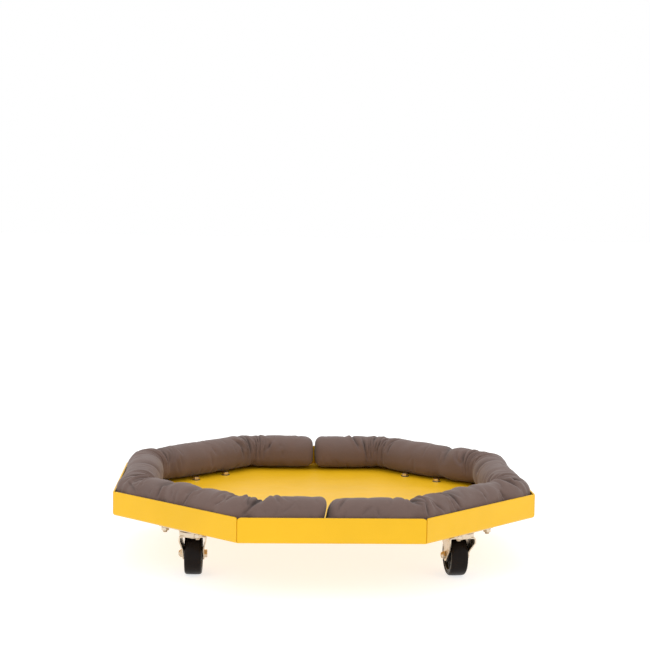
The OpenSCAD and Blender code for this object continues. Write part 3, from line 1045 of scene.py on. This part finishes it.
def core_model(settings, radius):
    """Moulded core: hub, web and rim in one turned shell, with ribs on both sides."""
    bore, hub = settings.sleeve_radius + PLAY, settings.sleeve_radius + 0.006
    hub_half = settings.fork_gap / 2 - 0.0003
    rim_half, rim_inner = settings.tread_width / 2 - 0.001, radius - 0.004
    web_half, ease, fillet = 0.0045, 0.0005, 0.0015
    side = [(bore, hub_half - ease), (bore + ease, hub_half)]
    side += [(hub - ease, hub_half), (hub, hub_half - ease)]
    side += arc((hub + fillet, web_half + fillet), fillet, 180, 270, 4)
    side += arc((rim_inner - fillet, web_half + fillet), fillet, 270, 360, 4)
    side += [(rim_inner + 0.0004, rim_half - ease), (rim_inner + 0.0004 + ease, rim_half)]
    side += [(radius - ease, rim_half), (radius, rim_half - ease)]
    outline = side + [(r, -z) for r, z in reversed(side)]
    shells = [turned("core", outline, steps=96)]
    for k in range(settings.ribs):
        middle, length = (hub + rim_inner) / 2, rim_inner - hub + 0.002
        rib = block("rib", (middle, 0, 0), (length, 0.0026, 2 * rim_half - 0.006))
        ease_edges(rib, 0.0006)
        move_mesh(rib, Matrix.Rotation(math.tau * k / settings.ribs, 4, "Z"))
        shells.append(rib)
    return joined("ribbed_core", shells)


def fork_model(settings, place):
    """Pressed fork: two flared legs under a roof, and the cup that holds the balls."""
    low, high = heights("fork")
    sheet, crown = settings.fork_sheet, settings.crown_radius
    roof = high - settings.crown_height + sheet / 2
    leg, shoulder = settings.fork_gap / 2 + sheet / 2, crown - 0.0005 - sheet / 2
    knee, bend = roof - settings.knee_drop, roof - settings.shoulder_drop
    spare, rounding = 0.004, 0.0045
    half = [(leg, low - spare), (leg, knee), (shoulder, bend), (shoulder, roof)]
    path = rounded_path(half + [(-y, z) for y, z in reversed(half)], rounding)
    back, front = 0.005 - crown, place.trail + settings.fork_end - 0.002
    mesh = bpy.data.meshes.new("legs")
    edges = [(k, k + 1) for k in range(len(path) - 1)]
    mesh.from_pydata([(back - spare, y, z) for y, z in path], edges, [])
    legs = edited(linked("legs", mesh), lambda: pull(front - back + 2 * spare, 0, 0))
    apply_modifier(legs, "SOLIDIFY", thickness=sheet, offset=0.0, use_even_offset=True)
    cut(legs, leg_outline(settings, place, back, front, roof), "INTERSECT")
    pin, axle = settings.kingpin_radius + PLAY, settings.axle_radius + PLAY
    cut(legs, rod(pin, roof - 0.01, roof + 0.01, 48))
    drill = rod(axle, -0.05, 0.05, 40)
    on_axle = Matrix.Translation((place.trail, 0, place.axle_height))
    move_mesh(drill, on_axle @ Matrix.Rotation(math.pi / 2, 4, "X"))
    cut(legs, drill)
    ease_edges(legs, 0.0005)
    skin, clear = 0.0004, 0.00006
    under, over = roof - sheet / 2 - clear, roof + sheet / 2 + clear
    inside = crown - sheet
    cup = [(pin, under), (crown - 0.002, under)] + arc((crown - 0.002, under + 0.002), 0.002, -60, 0, 4)
    cup += [(crown, high - skin), (crown - skin, high), (inside + skin, high), (inside, high - skin)]
    cup += arc((inside - 0.0015, over + 0.0015), 0.0015, 0, -90, 4) + [(pin, over)]
    return joined("pressed_fork", [legs, turned("cup", cup, steps=96)])


def leg_outline(settings, place, back, front, roof):
    """What the side of the fork is cut to: a straight-sided taper down to a round end."""
    axle, radius = Vector((place.trail, place.axle_height)), settings.fork_end
    bend = roof - settings.shoulder_drop

    def touch(point, side):
        away = Vector(point) - axle
        turn = math.atan2(away.y, away.x) + side * math.acos(radius / away.length)
        return math.degrees(turn)

    first, last = touch((back, bend), 1), touch((front, bend), -1)
    while last < first:
        last += 360
    round_end = arc(axle, radius, first, last, 28)
    outline = rounded_path([(back, roof + 0.01), (back, bend), round_end[0]], 0.006)
    outline += [Vector(point) for point in round_end[1:-1]]
    outline += rounded_path([round_end[-1], (front, bend), (front, roof + 0.01)], 0.006)
    blank = prism("outline", [(point.x, point.y) for point in outline], -0.05, 0.05)
    move_mesh(blank, Matrix.Rotation(math.pi / 2, 4, "X"))
    return blank


def plate_bolt_places(settings):
    """Where a plate's four bolts stand, seen from its kingpin."""
    x, y = settings.bolts_across / 2, settings.bolts_along / 2
    return [Matrix.Translation((sx * x, sy * y, 0)) for sx, sy in ((1, 1), (-1, 1), (-1, -1), (1, -1))]


def plate_model(settings):
    """Top plate: rounded corners, bolt holes and the dish that the balls run under."""
    low, high = heights("top_plate")
    thickness, corner = settings.plate_thickness, 0.008
    x, y = settings.plate_width / 2 - corner, settings.plate_length / 2 - corner
    outline = []
    for k, (cx, cy) in enumerate(((x, y), (-x, y), (-x, -y), (x, -y))):
        outline += arc((cx, cy), corner, 90 * k, 90 * k + 90, 8)
    plate = prism("plate", outline, high - thickness, high)
    rim = settings.ball_circle + 0.0035
    cut(plate, rod(rim, low, high + 0.01))
    for spot in plate_bolt_places(settings):
        hole = rod(settings.bolt_radius + 0.0003, low, high + 0.01, 36)
        move_mesh(hole, spot)
        cut(plate, hole)
    ease_edges(plate, 0.0004)
    pin, floor = settings.kingpin_radius + PLAY, settings.ball_circle + 0.002
    ease = 0.0012
    dish = [(pin, low), (floor - ease, low)] + arc((floor - ease, low + ease), ease, -90, -20, 4)
    dish += [(rim + 0.0002, high - thickness + 0.0004), (rim + 0.0012, high - thickness + 0.0002)]
    dish += [(rim + 0.0012, high - 0.0002), (rim - 0.001, high)]
    dish += [(floor - thickness, low + thickness + 0.0006), (floor - thickness - 0.0008, low + thickness)]
    dish += [(pin, low + thickness)]
    return joined("dished_plate", [plate, turned("dish", dish, steps=96)])


def kingpin_model(settings):
    """Rivet with a domed head in the dish and a formed lower end."""
    low, high = heights("kingpin")
    pin = settings.kingpin_radius
    head = high - 0.004
    outline = [(0, low + 0.0006), (pin - 0.0025, low + 0.0006), (pin - 0.0015, low)]
    outline += arc((pin + 0.0018, low + 0.0012), 0.0012, -90, 0, 4)
    outline += [(pin + 0.003, low + 0.0025), (pin, low + 0.0025), (pin, head)]
    outline += [(pin + 0.0055, head), (pin + 0.006, head + 0.0005), (pin + 0.006, head + 0.0016)]
    outline += [((pin + 0.0052) * math.cos(a), head + 0.002 + 0.002 * math.sin(a))
                for a in (math.radians(10 * k) for k in range(1, 9))] + [(0, high)]
    return joined("riveted_kingpin", [turned("kingpin", outline, closed=False)])


def ball_ring_model(settings):
    """The ring of bearing balls between the plate and the fork."""
    low, high = heights("balls")
    size = high - low
    count = int(math.tau * settings.ball_circle / (size + 0.0006))
    balls = []
    for k in range(count):
        bpy.ops.object.select_all(action="DESELECT")
        bpy.ops.mesh.primitive_ico_sphere_add(subdivisions=3, radius=size / 2)
        ball = named("ball")
        turn = Matrix.Rotation(math.tau * k / count, 4, "Z")
        move_mesh(ball, turn @ Matrix.Translation((settings.ball_circle, 0, (low + high) / 2)))
        balls.append(ball)
    ring = joined("ball_ring", balls)
    bpy.ops.object.shade_smooth()
    return ring


class DOLLY_OT_wheels(bpy.types.Operator):
    """Model the treads and the cores"""

    bl_idname = "dolly.wheels"
    bl_label = "Wheels"

    def execute(self, context):
        settings = context.scene.dolly_casters
        low, high = heights("tread")
        radius = (high - low) / 2
        wheel = "{corner}_wheel"
        fit_out(tread_model(settings, radius, settings.tread_width), "tread", wheel,
                tread_rubber(settings.tread), "axle_matrix")
        fit_out(core_model(settings, radius - settings.tread_thickness), "wheel_core", wheel,
                wheel_plastic(settings.core), "axle_matrix")
        return {"FINISHED"}


class DOLLY_OT_swivels(bpy.types.Operator):
    """Model the forks, plates, retaining washers, the sleeves the wheels turn on, and the bearings"""

    bl_idname = "dolly.swivels"
    bl_label = "Forks and swivels"

    def execute(self, context):
        settings = context.scene.dolly_casters
        pressed = plated_steel("zinc_plate", settings.plating, 0.3, 1.0)
        swivel = "{corner}_swivel"
        fit_out(fork_model(settings, PLACES[CORNERS[0]]), "fork", swivel, pressed)
        fit_out(plate_model(settings), "top_plate", "deck", pressed, "plate_matrix")
        low, high = heights("retaining_washer")
        pin = settings.kingpin_radius + PLAY
        ring = ring_outline(pin, pin + 0.00695, low, high, 0.0003)
        washer = joined("pin_washer", [turned("washer", ring)])
        fit_out(washer, "retaining_washer", "deck", pressed)
        half = settings.fork_gap / 2
        bore = settings.axle_radius + 0.0001
        ring = ring_outline(bore, settings.sleeve_radius, -half, half, 0.0003)
        sleeve = joined("axle_tube", [turned("sleeve", ring)])
        fit_out(sleeve, "axle_sleeve", swivel, pressed, "axle_matrix")
        ground = bearing_steel((0.8, 0.8, 0.8))
        fit_out(ball_ring_model(settings), "balls", swivel, ground)
        return {"FINISHED"}


class DOLLY_OT_fasteners(bpy.types.Operator):
    """Model the kingpins, bolts, nuts and washers"""

    bl_idname = "dolly.fasteners"
    bl_label = "Fasteners"

    def execute(self, context):
        settings = context.scene.dolly_casters
        zinc = plated_steel("zinc_fastener", settings.plating, 0.24, 4.0)
        fit_out(kingpin_model(settings), "kingpin", "deck", zinc)
        self.axle_bolts(settings, zinc)
        self.plate_bolts(settings, zinc)
        return {"FINISHED"}

    def axle_bolts(self, settings, zinc):
        swivel = "{corner}_swivel"
        outside = settings.fork_gap / 2 + settings.fork_sheet
        head, nut = 0.0053, 0.0068
        width = 2 * settings.axle_radius + 0.005
        bolt = bolt_model(settings.axle_radius, width, head, 2 * outside + nut + 0.001, 0.014)
        move_mesh(bolt, Matrix.Translation((0, 0, -outside)) @ Matrix.Rotation(math.pi, 4, "X"))
        bolt.name = "hex_axle_bolt"
        fit_out(bolt, "axle_bolt", swivel, zinc, "axle_matrix")
        lock = nut_model(settings.axle_radius + PLAY, width, nut, collar=0.002)
        move_mesh(lock, Matrix.Translation((0, 0, outside)))
        lock.name = "axle_lock_nut"
        fit_out(lock, "axle_nut", swivel, zinc, "axle_matrix")

    def plate_bolts(self, settings, zinc):
        spots = plate_bolt_places(settings)
        places = [place.plate_matrix @ spot for place in PLACES.values() for spot in spots]
        radius = settings.bolt_radius
        tip, top = levels("caster_bolts")
        under = levels("sealing_washers")[1]
        bolt = bolt_model(radius, settings.bolt_head, top - under, under - tip, 0.014)
        move_mesh(bolt, Matrix.Translation((0, 0, under)))
        low, high = levels("caster_nuts")
        nut = nut_model(radius + PLAY, settings.bolt_head, high - low)
        move_mesh(nut, Matrix.Translation((0, 0, low)))
        low, high = levels("lock_washers")
        ring = ring_outline(radius + PLAY, radius + 0.0028, low, high, 0.0002)
        spring = turned("spring", ring, steps=48)
        middle, size = (0.006, 0, (low + high) / 2), (0.009, 0.0008, 0.008)
        cut(spring, block("slit", middle, size, math.radians(25)))
        spring = joined("spring", [spring])
        low, high = levels("sealing_washers")
        outer, bulge = settings.bolt_head / 2 + 0.002, (high - low) / 2
        soft = [(radius + PLAY, low), (outer - bulge, low)]
        soft += arc((outer - bulge, low + bulge), bulge, -90, 90, 8) + [(radius + PLAY, high)]
        seal = joined("seal", [turned("seal", soft, steps=48)])
        for model, name, node, material, slot in (
            (bolt, "hex_bolts", "caster_bolts", zinc, "zinc_fastener"),
            (nut, "hex_nuts", "caster_nuts", zinc, "zinc_fastener"),
            (spring, "spring_washers", "lock_washers", zinc, "zinc_fastener"),
            (seal, "rubber_washers", "sealing_washers", seal_rubber((0.03, 0.03, 0.03)), "seal_rubber"),
        ):
            piece = copy_to(model, name, places)
            paint(piece, material)
            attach(piece, "deck")
            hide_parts(node)
            bpy.data.objects.remove(model)


# ---- Stage ----


def soft_light(name, place, target, size, power):
    light = bpy.data.lights.new(name, "AREA")
    light.shape = "RECTANGLE"
    light.size, light.size_y = size
    light.energy = power
    lamp = bpy.data.objects.new(name, light)
    bpy.context.scene.collection.objects.link(lamp)
    lamp.location = place
    lamp.rotation_euler = (Vector(target) - Vector(place)).to_track_quat("-Z", "Y").to_euler()
    return lamp


class DOLLY_OT_stage(bpy.types.Operator):
    """Set the floor, the lights and the camera"""

    bl_idname = "dolly.stage"
    bl_label = "Stage"

    def execute(self, context):
        scene = context.scene
        settings = scene.dolly_stage
        bpy.ops.mesh.primitive_plane_add(size=60, location=(0, 0, 0))
        floor = named("studio_floor")
        shader = Shader("studio_floor")
        glow = (1.0, 1.0, 1.0, 1.0)
        shader.constant(Roughness=0.9, Specular_IOR_Level=0.1)
        shader.constant(Emission_Color=glow, Emission_Strength=0.72)
        grain = shader.noise(3.0, 2.0)
        paint(floor, shader.finish(shader.mix(grain, settings.floor, [c * 0.99 for c in settings.floor])))
        world = bpy.data.worlds.new("studio")
        world.use_nodes = True
        world.node_tree.nodes["Background"].inputs["Color"].default_value = (1.0, 1.0, 1.0, 1.0)
        world.node_tree.nodes["Background"].inputs["Strength"].default_value = 1.0
        scene.world = world
        soft_light("key", (-2.2, -2.6, 3.0), (0, 0, 0.1), (2.4, 2.4), 22)
        soft_light("fill", (2.6, -1.8, 1.8), (0, 0, 0.1), (2.0, 2.0), 12)
        soft_light("top", (0.0, 0.6, 3.4), (0, 0, 0.1), (3.0, 3.0), 26)
        eye = bpy.data.cameras.new("camera")
        eye.sensor_width = 36
        eye.lens = settings.lens
        camera = bpy.data.objects.new("camera", eye)
        scene.collection.objects.link(camera)
        aim = Vector(settings.look).to_track_quat("-Z", "Y").to_matrix().to_4x4()
        camera.matrix_world = (
            Matrix.Translation(settings.eye) @ aim @ Matrix.Rotation(settings.tilt, 4, "Z")
        )
        scene.camera = camera
        scene.view_settings.view_transform = "Standard"
        return {"FINISHED"}


# ---- Panel and registration ----

OPERATORS = (
    DOLLY_OT_stage, DOLLY_OT_pan, DOLLY_OT_socks, DOLLY_OT_wheels, DOLLY_OT_swivels, DOLLY_OT_fasteners
)
SETTINGS = (
    ("dolly_pan", DollyPanSettings),
    ("dolly_socks", DollySockSettings),
    ("dolly_casters", DollyCasterSettings),
    ("dolly_stage", DollyStageSettings),
)


class DOLLY_PT_panel(bpy.types.Panel):
    """Sizes and colours of the drum dolly, and the pieces it is built from"""

    bl_idname = "DOLLY_PT_panel"
    bl_label = "Drum dolly"
    bl_space_type = "VIEW_3D"
    bl_region_type = "UI"
    bl_category = "Drum dolly"

    def draw(self, context):
        for name, group in SETTINGS:
            box = self.layout.box()
            for key in group.__annotations__:
                box.prop(getattr(context.scene, name), key)
        for operator in OPERATORS:
            self.layout.operator(operator.bl_idname)


def register():
    for name, group in SETTINGS:
        bpy.utils.register_class(group)
        setattr(bpy.types.Scene, name, bpy.props.PointerProperty(type=group))
    for operator in OPERATORS:
        bpy.utils.register_class(operator)
    bpy.utils.register_class(DOLLY_PT_panel)


def unregister():
    bpy.utils.unregister_class(DOLLY_PT_panel)
    for operator in reversed(OPERATORS):
        bpy.utils.unregister_class(operator)
    for name, group in reversed(SETTINGS):
        delattr(bpy.types.Scene, name)
        bpy.utils.unregister_class(group)


def main():
    register()
    bpy.ops.dolly.stage()
    bpy.ops.dolly.pan()
    bpy.ops.dolly.socks()
    bpy.ops.dolly.wheels()
    bpy.ops.dolly.swivels()
    bpy.ops.dolly.fasteners()


if __name__ == "__main__":
    main()
